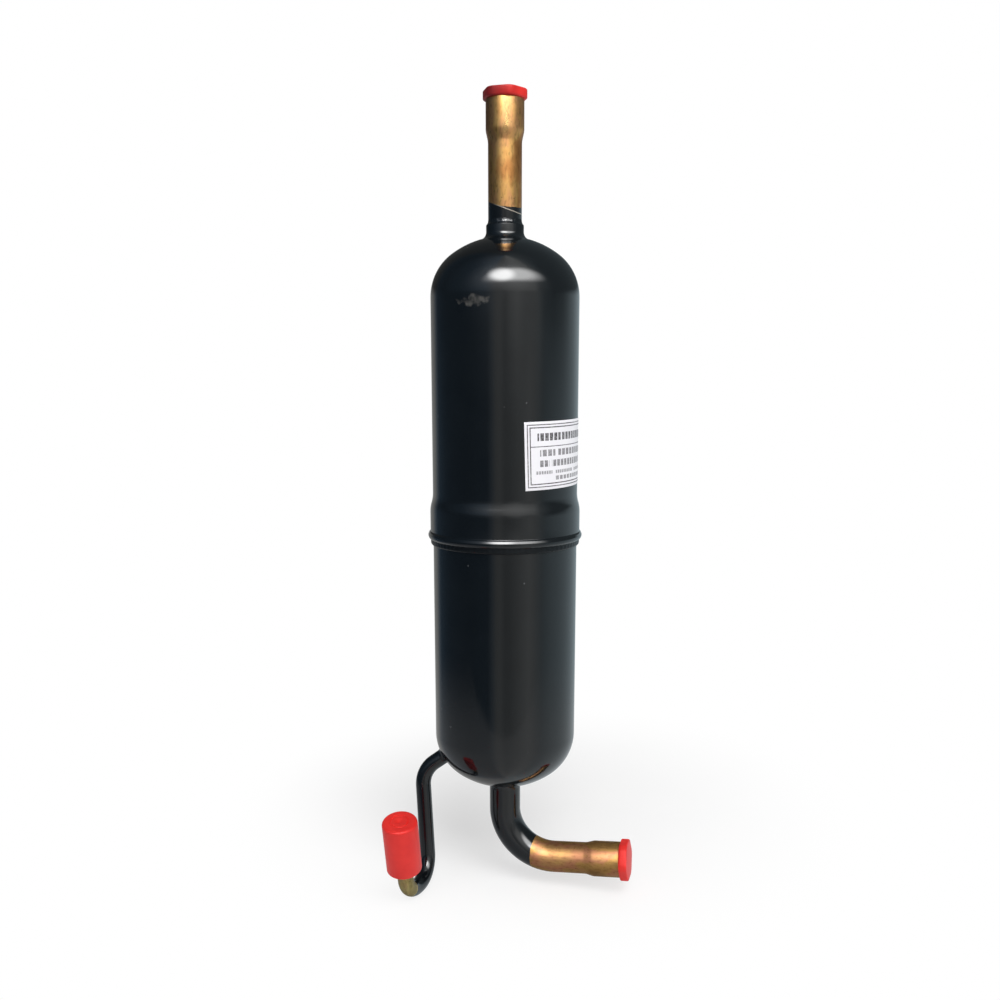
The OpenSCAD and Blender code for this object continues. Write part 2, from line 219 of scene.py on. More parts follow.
def add(tree, kind, inputs=None, stops=(), **settings):
    """Adds a shader node with its settings and the stops of its colour ramp. Its sockets get
    values, links, or links to another node's first output in use. They go by name, or by number
    where names repeat: 6 and 7 are the two colours of a Mix."""
    node = tree.nodes.new("ShaderNode" + kind)
    for name, value in settings.items():
        setattr(node, name, value)
    if stops:
        spots = node.color_ramp.elements
        for spot, (position, colour) in zip(spots, (stops[0], stops[-1])):
            spot.position, spot.color = position, colour
        for position, colour in stops[1:-1]:
            spots.new(position).color = colour
    for socket, value in (inputs or {}).items():
        if isinstance(value, bpy.types.Node):
            value = next(output for output in value.outputs if output.enabled)
        if isinstance(value, bpy.types.NodeSocket):
            tree.links.new(value, node.inputs[socket])
        else:
            node.inputs[socket].default_value = value
    return node


def per(size):
    """Texture scale for a pattern of that size in mm."""
    return 1 / (size * MM)


def new_material(name):
    """Empty node material, with its tree and its Object coordinates."""
    material = bpy.data.materials.new(name)
    material.use_nodes = True
    tree = material.node_tree
    tree.nodes.clear()
    return material, tree, add(tree, "TexCoord").outputs["Object"]


def lay_enamel(tree, where, dull=0.0, lumps=0.0, shine=0.5):
    """Air-dried gloss enamel, sprayed on: near black, mirror-like, with faint orange peel, a few
    motes of dust and the slow waves of drawn sheet under it, so that reflections run a little
    uneven. Over braze it shows the lumps."""
    peel = add(tree, "TexNoise", {"Vector": where, "Scale": per(2.6), "Detail": 2})
    drawn = add(tree, "VectorMath", {0: where, 1: (1, 1, 0.3)}, operation="MULTIPLY")
    waves = add(tree, "TexNoise", {"Vector": drawn, "Scale": per(13), "Detail": 1})
    film = add(tree, "TexNoise", {"Vector": where, "Scale": per(11), "Detail": 3})
    black = add(
        tree, "Mix", {0: film, 6: linear("#090c0f"), 7: linear("#101417")}, data_type="RGBA"
    )
    dust = add(tree, "TexVoronoi", {"Vector": where, "Scale": per(12)})
    mote = add(
        tree, "MapRange", {"Value": dust, "From Min": 0.035, "From Max": 0.02, "To Max": 0.5}
    )
    dusty = add(tree, "Mix", {0: mote, 6: black, 7: linear("#6a6c6e")}, data_type="RGBA")
    gloss = add(
        tree,
        "MapRange",
        {
            "Value": film,
            "From Min": 0.3,
            "From Max": 0.75,
            "To Min": 0.06 + dull,
            "To Max": 0.13 + dull,
        },
    )
    sheet = add(tree, "Bump", {"Height": waves, "Distance": 0.03 * MM})
    if lumps:
        lump = add(tree, "TexNoise", {"Vector": where, "Scale": per(1.9), "Detail": 2})
        sheet = add(tree, "Bump", {"Height": lump, "Distance": lumps * MM, "Normal": sheet})
    coat = add(tree, "Bump", {"Height": peel, "Distance": 0.004 * MM, "Normal": sheet})
    return add(
        tree,
        "BsdfPrincipled",
        {
            "Base Color": dusty,
            "Roughness": gloss,
            "IOR": 1.5,
            "Specular IOR Level": shine,
            "Normal": coat,
        },
    )


def enamelled(name, **coat):
    """Material of one coat of enamel all over."""
    material, tree, where = new_material(name)
    add(tree, "OutputMaterial", {"Surface": lay_enamel(tree, where, **coat)})
    return material


# The upper shell carries one dry rub mark below its shoulder, left by another part in the crate.
RUB_AT = Vector((-4.3, -28.2, 34.4))
RUB_HALF = (6.5, 6.5, 2.2)
scuffed, tree, where = new_material("black_gloss_enamel_scuffed")
from_rub = add(tree, "VectorMath", {0: where, 1: RUB_AT * MM}, operation="SUBTRACT")
rub_shape = add(
    tree, "VectorMath", {0: from_rub, 1: [per(half) for half in RUB_HALF]}, operation="MULTIPLY"
)
rub_reach = add(tree, "VectorMath", {0: rub_shape}, operation="LENGTH")
rub_grain = add(tree, "TexNoise", {"Vector": where, "Scale": per(2.2), "Detail": 5})
rub_edge = add(tree, "Math", {0: rub_grain, 1: -1.6, 2: rub_reach}, operation="MULTIPLY_ADD")
rub_near = add(
    tree,
    "MapRange",
    {"Value": rub_edge, "From Min": 0.25, "From Max": -0.2},
    interpolation_type="SMOOTHSTEP",
)
rub_marks = add(
    tree, "MapRange", {"Value": rub_grain, "From Min": 0.33, "From Max": 0.6, "To Max": 0.42}
)
rubbed = add(tree, "Math", {0: rub_near, 1: rub_marks}, operation="MULTIPLY")
dry_paint = add(tree, "BsdfPrincipled", {"Base Color": linear("#686560"), "Roughness": 0.6})
with_rub = add(tree, "MixShader", {0: rubbed, 1: lay_enamel(tree, where), 2: dry_paint})
add(tree, "OutputMaterial", {"Surface": with_rub})
finish(upper_shell, "vessel", "black_enamel", scuffed, "upper_shell")

# Inlet tube
# Drawn copper tube of 12.7 mm, widened at its free end to a socket for the next pipe.
# The paint stops at a slanted edge above the collar, and brazing heat has browned the bare metal
# in patches. Painted shade darkens its side towards -X.
TUBE_R = 6.35
TUBE_WALL = 0.8
SOCKET_OUT = 7.2
SOCKET_BORE = 6.4
SOCKET_DEPTH = 10.8
TAPER = 4
INLET_FOOT = 97.5
INLET_RISE = 44.5
INLET_MOUTH = COLLAR_TOP + INLET_RISE
swage = INLET_MOUTH - SOCKET_DEPTH - TAPER
# Where the ends of the taper run soft: how much wider, and how far along.
SWAGE_EASE = ((0, -0.6), (0.02, 0), (0.13, 0.7))
inlet_tube = turn(
    "inlet_tube_copper",
    [(TUBE_R - TUBE_WALL, INLET_FOOT), (TUBE_R, INLET_FOOT)]
    + [(TUBE_R + wider, swage + along) for wider, along in SWAGE_EASE]
    + [(SOCKET_OUT - wider, swage + TAPER - along) for wider, along in SWAGE_EASE[::-1]]
    + [(SOCKET_OUT, INLET_MOUTH), (SOCKET_BORE, INLET_MOUTH)]
    + [(SOCKET_BORE, swage + TAPER), (TUBE_R - TUBE_WALL, swage)],
    steps=96,
)
soften(inlet_tube, width=0.2, segments=5, angle=50)

GOLDEN = ("#a06938", "#bb834c", "#d2a260", "#d09865", "#e2ba79")
ROSY = ("#785c34", "#8f6d3f", "#9c7844", "#a36f51", "#ad8752")
OLIVE = ("#7d7048", "#948555", "#a99964", "#a08a60", "#b9a872")
TINT_STOPS = (0.26, 0.42, 0.5, 0.57, 0.76)
PAINT_EDGE = 0.06


def lay_copper(tree, where, dull, tints, grain, shaded_side=None):
    """Soft copper tube browned by the brazing flame: bright metal with heat tints in patches, fine
    drawing marks and dark pin specks, its gloss broken by handling. Marks and tints run with the
    grain, which is smallest along the tube, and the marks are drawn coarse enough to show. Painted
    shade may darken one side more than the rest."""
    drawn = add(tree, "VectorMath", {0: where, 1: grain}, operation="MULTIPLY")
    patches = add(tree, "TexNoise", {"Vector": drawn, "Scale": per(8), "Detail": 3})
    stops = [(stop, linear(colour)) for stop, colour in zip(TINT_STOPS, tints)]
    tint = add(tree, "ValToRGB", {"Fac": patches}, stops)
    fine = add(tree, "TexNoise", {"Vector": drawn, "Scale": per(0.9), "Detail": 4})
    marks = add(
        tree, "MapRange", {"Value": fine, "From Min": 0.32, "From Max": 0.5, "To Min": 0.62}
    )
    mottled = add(tree, "Mix", {0: marks, 6: linear("#5a3a1c"), 7: tint}, data_type="RGBA")
    specks = add(tree, "TexVoronoi", {"Vector": where, "Scale": per(3.2)})
    speck = add(
        tree, "MapRange", {"Value": specks, "From Min": 0.05, "From Max": 0.11, "To Min": 0.5}
    )
    metal = add(tree, "Mix", {0: speck, 6: linear("#2a190c"), 7: mottled}, data_type="RGBA")
    # Painted shade: dark brown laid over one side of the tube, away from the light.
    if shaded_side:
        side = add(tree, "VectorMath", {0: where, 1: shaded_side / MM}, operation="DOT_PRODUCT")
        painted_shade = add(
            tree, "MapRange", {"Value": side, "From Min": 2.5, "From Max": 7, "To Max": 0.5}
        )
        metal = add(tree, "Mix", {0: painted_shade, 6: metal, 7: linear("#5a2a14")}, data_type="RGBA")
    rough = add(
        tree,
        "MapRange",
        {
            "Value": patches,
            "From Min": 0.3,
            "From Max": 0.7,
            "To Min": 0.34 + dull,
            "To Max": 0.2 + dull,
        },
    )
    bump = add(tree, "Bump", {"Height": fine, "Distance": (0.03 + 0.2 * dull) * MM})
    return add(
        tree,
        "BsdfPrincipled",
        {"Base Color": metal, "Metallic": 0.9, "Roughness": rough, "Normal": bump},
    )


def past_plane(tree, where, point, normal, ragged, size):
    """How far past a plane a point lies, in mm, with a ragged edge of that depth."""
    start = (point + normal * ragged / 2) * MM
    offset = add(tree, "VectorMath", {0: where, 1: start}, operation="SUBTRACT")
    along = add(tree, "VectorMath", {0: offset, 1: normal / MM}, operation="DOT_PRODUCT")
    noise = add(tree, "TexNoise", {"Vector": where, "Scale": per(size), "Detail": 4})
    return add(tree, "Math", {0: noise, 1: ragged, 2: along}, operation="MULTIPLY_ADD")


def half_painted(tree, where, past, copper):
    """Copper past the paint's edge, and enamel before it."""
    edge = {"Value": past, "From Min": -PAINT_EDGE, "From Max": PAINT_EDGE}
    bare = add(tree, "MapRange", edge)
    return add(tree, "MixShader", {0: bare, 1: lay_enamel(tree, where), 2: copper})


# The paint was masked along a slanted line, which falls to the right, 15 degrees round from +X,
# and a little to the front. On its low side paint has run over it, and a bright scratch shows.
ACROSS_TURN = math.radians(15)
MASK_HEIGHT, MASK_FALL = 123.85, 0.354
RUN_HEIGHT, RUN_FALL = 124.5, 0.093
MASK_TIP, MASK_RISE = 0.155, 0.988
across = Vector((math.cos(ACROSS_TURN), math.sin(ACROSS_TURN), 0))
front = Vector((math.sin(ACROSS_TURN), -math.cos(ACROSS_TURN), 0))


def paint_line(height, fall):
    """Plane of a paint edge: its point on the tube's axis and its normal."""
    normal = across * fall + front * MASK_TIP + Vector((0, 0, MASK_RISE))
    return Vector((0, 0, height - CLAMP_HEIGHT)), normal.normalized()


inlet_copper, tree, where = new_material("flame_browned_copper_inlet_painted_shade")
mask = paint_line(MASK_HEIGHT, MASK_FALL)
masked = past_plane(tree, where, *mask, ragged=0.5, size=2.5)
run_over = past_plane(tree, where, *paint_line(RUN_HEIGHT, RUN_FALL), ragged=0.7, size=1.2)
painted = half_painted(
    tree,
    where,
    add(tree, "Math", {0: masked, 1: run_over}, operation="MINIMUM"),
    lay_copper(tree, where, dull=0.06, tints=GOLDEN, grain=(1, 1, 0.4), shaded_side=-across),
)
from_mask = past_plane(tree, where, *mask, ragged=0.3, size=4)
off_mask = add(tree, "Math", {0: from_mask}, operation="ABSOLUTE")
thin = add(tree, "MapRange", {"Value": off_mask, "From Min": 0.2, "From Max": 0.1, "To Max": 0.75})
right_side = add(tree, "VectorMath", {0: where, 1: across / MM}, operation="DOT_PRODUCT")
low_side = add(tree, "MapRange", {"Value": right_side, "From Min": -5, "From Max": -1})
scratched = add(tree, "Math", {0: thin, 1: low_side}, operation="MULTIPLY")
bright_metal = add(
    tree, "BsdfPrincipled", {"Base Color": linear("#d8cabb"), "Metallic": 0.5, "Roughness": 0.35}
)
with_scratch = add(tree, "MixShader", {0: scratched, 1: painted, 2: bright_metal})
add(tree, "OutputMaterial", {"Surface": with_scratch})
finish(inlet_tube, "vessel", "painted_copper", inlet_copper, "inlet_tube")

# Inlet braze
# The ring of silver brazing metal that fills the gap between collar and tube, drawn up the tube
# in a hollow fillet and painted over with the vessel.
GAP = 0.02
BRAZE_LEG = 2
BRAZE_OUT = 0.78


def hollow(tube_r, out, foot, leg, curve, stations=(0.25, 0.5, 0.75, 1)):
    """Hollow face of a braze fillet, from near its foot to its thin end on the tube."""
    return [(tube_r + GAP + out * (1 - t) ** 2, foot + leg * t**curve) for t in stations]


braze_foot = COLLAR_TOP + GAP
inlet_braze = turn(
    "inlet_braze_ring",
    [(TUBE_R + GAP, braze_foot), (COLLAR_R, braze_foot)]
    + hollow(TUBE_R, BRAZE_OUT, braze_foot, BRAZE_LEG, curve=1.4, stations=(0.3, 0.6, 0.85, 1)),
    steps=96,
)
soften(inlet_braze, width=0.12)
braze_enamel = enamelled("black_enamel_over_braze", dull=0.05, lumps=0.4)
finish(inlet_braze, "vessel", "black_enamel", braze_enamel, "inlet_braze")

# Screens, rings and hat
# Pressed steel discs with rows of holes, the wire rings that hold them, and the sheet cone over
# the standpipe. All stay bare inside the vessel, greyed by the brazing furnace.
steel, tree, where = new_material("furnace_greyed_steel")
cloud = add(tree, "TexNoise", {"Vector": where, "Scale": per(7), "Detail": 4})
pits = add(tree, "TexNoise", {"Vector": where, "Scale": per(0.6), "Detail": 3})
grey = add(tree, "Mix", {0: cloud, 6: linear("#75787b"), 7: linear("#b3b5b6")}, data_type="RGBA")
steel_shader = add(
    tree,
    "BsdfPrincipled",
    {
        "Base Color": grey,
        "Metallic": 1.0,
        "Roughness": add(tree, "MapRange", {"Value": cloud, "To Min": 0.3, "To Max": 0.55}),
        "Normal": add(tree, "Bump", {"Height": pits, "Distance": 0.01 * MM}),
    },
)
add(tree, "OutputMaterial", {"Surface": steel_shader})
for name in ("upper_screen", "lower_screen", "screen_rings", "standpipe_hat"):
    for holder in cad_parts[name].material_slots:
        holder.material = steel

# Mesh roll
# Knitted steel wire rolled into a pad between the screens. The loops are about 2.5 mm wide, so
# they show as a crossed relief on each turn, with painted shade in the dark gaps between them.
LOOP = 2.5
wire, tree, where = new_material("knitted_steel_wire")
loops_up, loops_round = [
    add(
        tree,
        "TexWave",
        {"Vector": where, "Scale": per(LOOP) / math.tau, "Distortion": 2.0, "Detail": 1},
        wave_type="BANDS",
        bands_direction=direction,
    ).outputs["Fac"]
    for direction in ("DIAGONAL", "Z")
]
loops = add(tree, "Math", {0: loops_up, 1: loops_round}, operation="MAXIMUM")
# Painted shade: the gaps between the loops are coloured near black.
knit_and_gap_shade = add(tree, "Mix", {0: loops, 6: linear("#2c2e30"), 7: linear("#a9acae")}, data_type="RGBA")
wire_shader = add(
    tree,
    "BsdfPrincipled",
    {
        "Base Color": knit_and_gap_shade,
        "Metallic": 1.0,
        "Roughness": 0.38,
        "Normal": add(tree, "Bump", {"Height": loops, "Distance": 0.2 * MM}),
    },
)
add(tree, "OutputMaterial", {"Surface": wire_shader})
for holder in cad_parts["mesh_roll"].material_slots:
    holder.material = wire

# Lower shell
# A second drawn cup with a plain edge, which slips into the bell, a hole in its pole for the
# outlet tube and one in the knuckle of its dome for the oil return tube.
LOWER_LEN = 82
LOWER_ROWS = (-20, -40, -60)
SPIGOT = 9
OIL_R = 3.175
OIL_HOLE_R = OIL_R + 0.1
OIL_AZIMUTH = 190
OIL_DIP = 36
DRILL_LEN = 8
lower_out = [(SHELL_R, h) for h in (SPIGOT, *LOWER_ROWS)] + dome(0, -LOWER_LEN, -1)
lower_in = dome(WALL, -LOWER_LEN, -1)[::-1] + [(SHELL_R - WALL, SPIGOT)]
pole_rim = [(COLLAR_BORE, -LOWER_LEN - crown_at(COLLAR_BORE, inset)) for inset in (0, WALL)]
lower_shell = turn(
    "lower_shell_body",
    clear_of(COLLAR_BORE, lower_out) + pole_rim + clear_of(COLLAR_BORE, lower_in),
)
oil_knuckle = (
    seam
    @ Matrix.Rotation(math.radians(OIL_AZIMUTH), 4, "Z")
    @ Matrix.Translation(((SHELL_R - KNUCKLE_R) * MM, 0, -LOWER_LEN * MM))
    @ Matrix.Rotation(math.radians(90 + OIL_DIP), 4, "Y")
)
drill_at = oil_knuckle @ Matrix.Translation((0, 0, KNUCKLE_R * MM))
drill = begin(
    "oil_hole_drill",
    bpy.ops.mesh.primitive_cylinder_add,
    vertices=64,
    radius=OIL_HOLE_R * MM,
    depth=DRILL_LEN * MM,
    location=drill_at.to_translation(),
    rotation=drill_at.to_euler(),
)
apply_modifier(lower_shell, "BOOLEAN", object=drill, operation="DIFFERENCE")
bpy.data.objects.remove(drill)
smooth(40)
enamel = enamelled("black_gloss_enamel")
finish(lower_shell, "vessel", "black_enamel", enamel, "lower_shell")

# Outlet tube
# The same copper tube, from its mouth inside the vessel down through the lower dome and round
# an elbow made on a bender, with a socket at its free end. Its last part is bare.
STANDPIPE_TOP = 3
OUTLET_DROP = 11
OUTLET_FEED = STANDPIPE_TOP + LOWER_LEN + DOME_H + OUTLET_DROP
OUTLET_BEND_R = 20
OUTLET_BEND = 94
OUTLET_END = 28
OUTLET_LEG = OUTLET_END - SOCKET_DEPTH - TAPER
OUTLET_EASE_LEN = 0.7
OUTLET_EASE_OUT = 0.08
OUTLET_BARE_FROM = math.radians(70.5)
OUTLET_MASK = Vector((1, -0.17, -0.02)).normalized()
BEND_STEP = 3


def bend_tube(name, start, stages, bend_r, radius, sides):
    """Pulls a ring along the bender's stages: straight feed, roll, and bend toward its +X.
    It stays in edit mode with its end ring selected, and the frame at that end comes back too."""
    piece = begin(name, bpy.ops.mesh.primitive_circle_add, vertices=sides, radius=radius * MM)
    settle(piece, start)
    bpy.ops.object.mode_set(mode="EDIT")
    bpy.ops.mesh.select_all(action="SELECT")
    here = start.copy()
    hub = Matrix.Translation((bend_r * MM, 0, 0))
    for feed, roll, angle in stages:
        along = here.to_3x3() @ Vector((0, 0, feed * MM))
        bpy.ops.mesh.extrude_region_move(TRANSFORM_OT_translate={"value": along})
        here = Matrix.Translation(along) @ here @ Matrix.Rotation(math.radians(roll), 4, "Z")
        if angle:
            bpy.ops.mesh.spin(
                steps=round(angle / BEND_STEP),
                angle=-math.radians(angle),
                center=(here @ hub).to_translation(),
                axis=here.to_3x3() @ Vector((0, 1, 0)),
            )
            here = here @ hub @ Matrix.Rotation(math.radians(angle), 4, "Y") @ hub.inverted()
    return piece, here


def wall_tube(piece, wall, edge):
    """Closes a pulled tube: outward normals, the wall's thickness inwards and soft end edges."""
    bpy.ops.mesh.select_all(action="SELECT")
    bpy.ops.mesh.remove_doubles(threshold=0.001 * MM)
    bpy.ops.mesh.normals_make_consistent(inside=False)
    bpy.ops.object.mode_set(mode="OBJECT")
    apply_modifier(piece, "SOLIDIFY", thickness=wall * MM, offset=-1)
    soften(piece, edge, angle=50)


standpipe = seam @ Matrix.Translation((0, 0, STANDPIPE_TOP * MM)) @ Matrix.Rotation(math.pi, 4, "X")
outlet_tube, outlet_end = bend_tube(
    "outlet_tube_copper",
    standpipe,
    [(OUTLET_FEED, 0, OUTLET_BEND), (OUTLET_LEG, 0, 0)],
    OUTLET_BEND_R,
    TUBE_R,
    sides=96,
)
radius = TUBE_R
for feed, wider in (
    (OUTLET_EASE_LEN, TUBE_R + OUTLET_EASE_OUT),
    (TAPER - 2 * OUTLET_EASE_LEN, SOCKET_OUT - OUTLET_EASE_OUT),
    (OUTLET_EASE_LEN, SOCKET_OUT),
    (SOCKET_DEPTH, SOCKET_OUT),
):
    along = outlet_end.to_3x3() @ Vector((0, 0, feed * MM))
    bpy.ops.mesh.extrude_region_move(TRANSFORM_OT_translate={"value": along})
    outlet_end = Matrix.Translation(along) @ outlet_end
    bpy.ops.transform.resize(
        value=(wider / radius,) * 3, center_override=outlet_end.to_translation()
    )
    radius = wider
wall_tube(outlet_tube, TUBE_WALL, edge=0.2)
outlet_edge = Vector(
    (
        OUTLET_BEND_R * (1 - math.cos(OUTLET_BARE_FROM)),
        0,
        STANDPIPE_TOP - CLAMP_HEIGHT - OUTLET_FEED - OUTLET_BEND_R * math.sin(OUTLET_BARE_FROM),
    )
)
outlet_copper, tree, where = new_material("flame_browned_copper_outlet")
painted = half_painted(
    tree,
    where,
    past_plane(tree, where, outlet_edge, OUTLET_MASK, ragged=0.6, size=3),
    lay_copper(tree, where, dull=0.27, tints=ROSY, grain=(0.5, 1, 1)),
)
add(tree, "OutputMaterial", {"Surface": painted})
finish(outlet_tube, "vessel", "painted_copper", outlet_copper, "outlet_tube")

# Outlet braze
# Brazing metal round the outlet tube where it leaves the pole of the lower dome, drawn down the
# tube in a hollow fillet and painted over.
OUTLET_BRAZE_OUT = 1.1
OUTLET_BRAZE_LEG = 2.5
OUTLET_BRAZE_SINK = 0.55
outlet_braze_foot = -LOWER_LEN - DOME_H + OUTLET_BRAZE_SINK
on_dome = [TUBE_R + out for out in (GAP, 0.6, 1.2)]
outlet_braze = turn(
    "outlet_braze_ring",
    [(r, -LOWER_LEN - crown_at(r, -GAP)) for r in on_dome]
    + hollow(TUBE_R, OUTLET_BRAZE_OUT, outlet_braze_foot, -OUTLET_BRAZE_LEG, curve=1.3),
    steps=96,
)
soften(outlet_braze, width=0.1)
finish(outlet_braze, "vessel", "black_enamel", braze_enamel, "outlet_braze")

# Oil return tube
# Soft 6.35 mm copper tube, bent three times on a small bender: down beside the dome, then up
# again in a hook of two bends. It is painted up to the middle of the hook, and the cap covers
# its end.
OIL_WALL = 0.7
OIL_BEND_R = 11
OIL_END = 23
OIL_STAGES = [(9.6, 12, 59), (28.5, 102.5, 78.5), (1, -11.5, 78), (OIL_END, 0, 0)]
OIL_INSIDE = 3.5
OIL_BARE_BEND = 44
OIL_BARE_REACH = 9
oil_start = oil_knuckle @ Matrix.Translation((0, 0, (KNUCKLE_R - OIL_INSIDE) * MM))
oil_tube, oil_end = bend_tube(
    "oil_return_tube_copper", oil_start, OIL_STAGES, OIL_BEND_R, OIL_R, sides=48
)
wall_tube(oil_tube, OIL_WALL, edge=0.15)
hook_edge = (
    oil_end
    @ Matrix.Translation((OIL_BEND_R * MM, 0, -OIL_END * MM))
    @ Matrix.Rotation(-math.radians(OIL_BARE_BEND), 4, "Y")
    @ Matrix.Translation((-OIL_BEND_R * MM, 0, 0))
)
oil_copper, tree, where = new_material("flame_browned_copper_oil_return")
past_hook = past_plane(
    tree,
    where,
    hook_edge.to_translation() / MM,
    hook_edge.to_3x3() @ Vector((0, 0, 1)),
    ragged=0.9,
    size=2,
)
# Only the end of the hook is bare, so the paint's edge also asks for a place close to its axis.
oil_way = oil_end.to_3x3() @ Vector((0, 0, 1))
offset = add(tree, "VectorMath", {0: where, 1: oil_end.to_translation()}, operation="SUBTRACT")
off_axis = add(tree, "VectorMath", {0: offset, 1: oil_way / MM}, operation="CROSS_PRODUCT")
reach = add(tree, "VectorMath", {0: off_axis}, operation="LENGTH")
close = add(tree, "Math", {0: OIL_BARE_REACH, 1: reach}, operation="SUBTRACT")
painted = half_painted(
    tree,
    where,
    add(tree, "Math", {0: past_hook, 1: close}, operation="MINIMUM"),
    lay_copper(tree, where, dull=0.2, tints=OLIVE, grain=(1, 1, 0.5)),
)
add(tree, "OutputMaterial", {"Surface": painted})
finish(oil_tube, "vessel", "painted_copper", oil_copper, "oil_return_tube")

# Oil return braze
# Brazing metal round the thin tube where it leaves the knuckle of the lower dome, drawn out along
# the tube in a hollow fillet and painted over.
OIL_BRAZE_OUT = 1.6
OIL_BRAZE_LEG = 2.3
OIL_BRAZE_SINK = 0.4
OIL_BRAZE_LIP = 0.1
oil_braze_foot = KNUCKLE_R - OIL_BRAZE_SINK
oil_braze = turn(
    "oil_return_braze_ring",
    [(OIL_R + GAP, oil_braze_foot), (OIL_R + OIL_BRAZE_OUT, oil_braze_foot)]
    + hollow(OIL_R, OIL_BRAZE_OUT, oil_braze_foot + OIL_BRAZE_LIP, OIL_BRAZE_LEG, curve=1.3),
    steps=64,
    at=oil_knuckle,
)
soften(oil_braze, width=0.1)
finish(oil_braze, "vessel", "black_enamel", braze_enamel, "oil_return_braze")

# Girth weld
# One run of weld bead that fills the corner under the rolled lip, laid while the vessel turns, so
# its face carries close ripples. It is painted over.
WELD_R = 1
WELD_FACE_R = 0.98
WELD_LIP_GAP = 0.03
RIPPLES = 84
RIPPLE_DEPTH = 0.05
RIPPLE_SWAY = 1.5
SWAYS = 5
weld_wall = SHELL_R + GAP
weld_height = -LIP_R - GAP - WELD_R
girth_weld = turn(
    "girth_weld_bead",
    [(weld_wall, weld_height + WELD_R), (weld_wall, weld_height - WELD_R)]
    + arc((weld_wall, weld_height), WELD_FACE_R, -88, 10, 7)
    + arc(lip_centre, LIP_R + WELD_LIP_GAP, -60, -84, 4),
    steps=420,
)
for vertex in girth_weld.data.vertices:
    radius = math.hypot(vertex.co.x, vertex.co.y)
    proud = radius - weld_wall * MM
    angle = math.atan2(vertex.co.y, vertex.co.x)
    wave = 1 + math.cos(RIPPLES * angle + RIPPLE_SWAY * math.sin(SWAYS * angle))
    vertex.co.xy *= 1 - RIPPLE_DEPTH * proud / MM * wave * proud / radius
smooth(60)
weld_enamel = enamelled("black_enamel_over_weld", dull=0.25, shine=0.2)
finish(girth_weld, "vessel", "black_enamel", weld_enamel, "girth_weld")

# Label
# White self-adhesive film with a satin face, printed with a double frame, a rule and rows of
# plain bars. It is pressed round the upper shell, slightly askew.
LABEL_W = 50
LABEL_H = 25.2
LABEL_T = 0.12
LABEL_HEIGHT = 33
LABEL_AZIMUTH = -10
LABEL_SLANT = 1.5
BLOCK_SHARE = 0.74
# Distance from the label's edge and half thickness of each line of the double frame.
FRAME_LINES = ((1.15, 0.18), (2.2, 0.2))
# Height above the foot, bar height and pitch of the blocks in mm, their ink, and the bars' ends
# along the film in mm. The first row is the rule, and the others are plain blocks.
ROWS = (
    (16.0, 0.3, 60, 1.0, ((2.2, 47.8),)),
    (19.5, 2.8, 2.1, 0.95, ((5, 16), (16.6, 38))),
    (13.6, 2.4, 2.4, 0.75, ((6, 13), (14.5, 40))),
    (9.7, 2.4, 2.0, 0.78, ((6, 10), (11.2, 33))),
    (6.4, 1.2, 1.1, 0.65, ((4, 11.5), (12.7, 24), (25.4, 36), (37.4, 45))),
    (4.1, 1.5, 2.2, 0.7, ((13, 39),)),
)
NO_INK = (0, 0, 0, 1)
label = begin(
    "label_film_sheet", bpy.ops.mesh.primitive_grid_add, x_subdivisions=72, y_subdivisions=18, size=MM
)
bpy.ops.object.mode_set(mode="EDIT")
bpy.ops.mesh.select_all(action="SELECT")
bpy.ops.transform.resize(value=(LABEL_W, LABEL_H, 1))
bpy.ops.transform.rotate(
    value=-math.radians(LABEL_SLANT), orient_axis="Z", center_override=(0, 0, 0)
)
bpy.ops.object.mode_set(mode="OBJECT")
film_r = (SHELL_R + GAP) * MM
for vertex in label.data.vertices:
    turn_by = math.radians(LABEL_AZIMUTH) + vertex.co.x / (SHELL_R * MM)
    height = vertex.co.y + (LABEL_HEIGHT - CLAMP_HEIGHT) * MM
    vertex.co = (film_r * math.cos(turn_by), film_r * math.sin(turn_by), height)
apply_modifier(label, "SOLIDIFY", thickness=LABEL_T * MM, offset=1)
soften(label, width=0.03, segments=2)


def from_edge(tree, share, length):
    """Distance in mm of a point on the film from the nearer of two edges."""
    middle = add(tree, "Math", {0: share, 1: 0.5}, operation="SUBTRACT")
    off = add(tree, "Math", {0: middle}, operation="ABSOLUTE")
    return add(tree, "Math", {0: off, 1: -length, 2: length / 2}, operation="MULTIPLY_ADD")


printed, tree, where = new_material("printed_white_film")
on_film = add(tree, "SeparateXYZ", {0: add(tree, "TexCoord").outputs["UV"]})
along, up = on_film.outputs["X"], on_film.outputs["Y"]
side_gap = from_edge(tree, along, LABEL_W)
end_gap = from_edge(tree, up, LABEL_H)
gap = add(tree, "Math", {0: side_gap, 1: end_gap}, operation="MINIMUM")
frame_out, frame_in = [
    add(tree, "Math", {0: gap, 1: inset, 2: half}, operation="COMPARE")
    for inset, half in FRAME_LINES
]
ink = add(tree, "Math", {0: frame_out, 1: frame_in}, operation="MAXIMUM")
for height, thick, pitch, density, bars in ROWS:
    in_row = {0: up, 1: height / LABEL_H, 2: thick / 2 / LABEL_H}
    row = add(tree, "Math", in_row, operation="COMPARE")
    stops = [(0, NO_INK)]
    for first, last in bars:
        stops += [(first / LABEL_W, (density,) * 3 + (1,)), (last / LABEL_W, NO_INK)]
    words = add(tree, "ValToRGB", {"Fac": along}, stops)
    words.color_ramp.interpolation = "CONSTANT"
    step = add(tree, "Math", {0: along, 1: LABEL_W / pitch}, operation="MULTIPLY")
    in_step = add(tree, "Math", {0: step}, operation="FRACT")
    block = add(tree, "Math", {0: in_step, 1: BLOCK_SHARE}, operation="LESS_THAN")
    blocks = add(tree, "Math", {0: words, 1: block}, operation="MULTIPLY")
    bar = add(tree, "Math", {0: blocks, 1: row}, operation="MULTIPLY")
    ink = add(tree, "Math", {0: ink, 1: bar}, operation="MAXIMUM")
worn = add(tree, "TexNoise", {"Vector": where, "Scale": per(0.7), "Detail": 2})
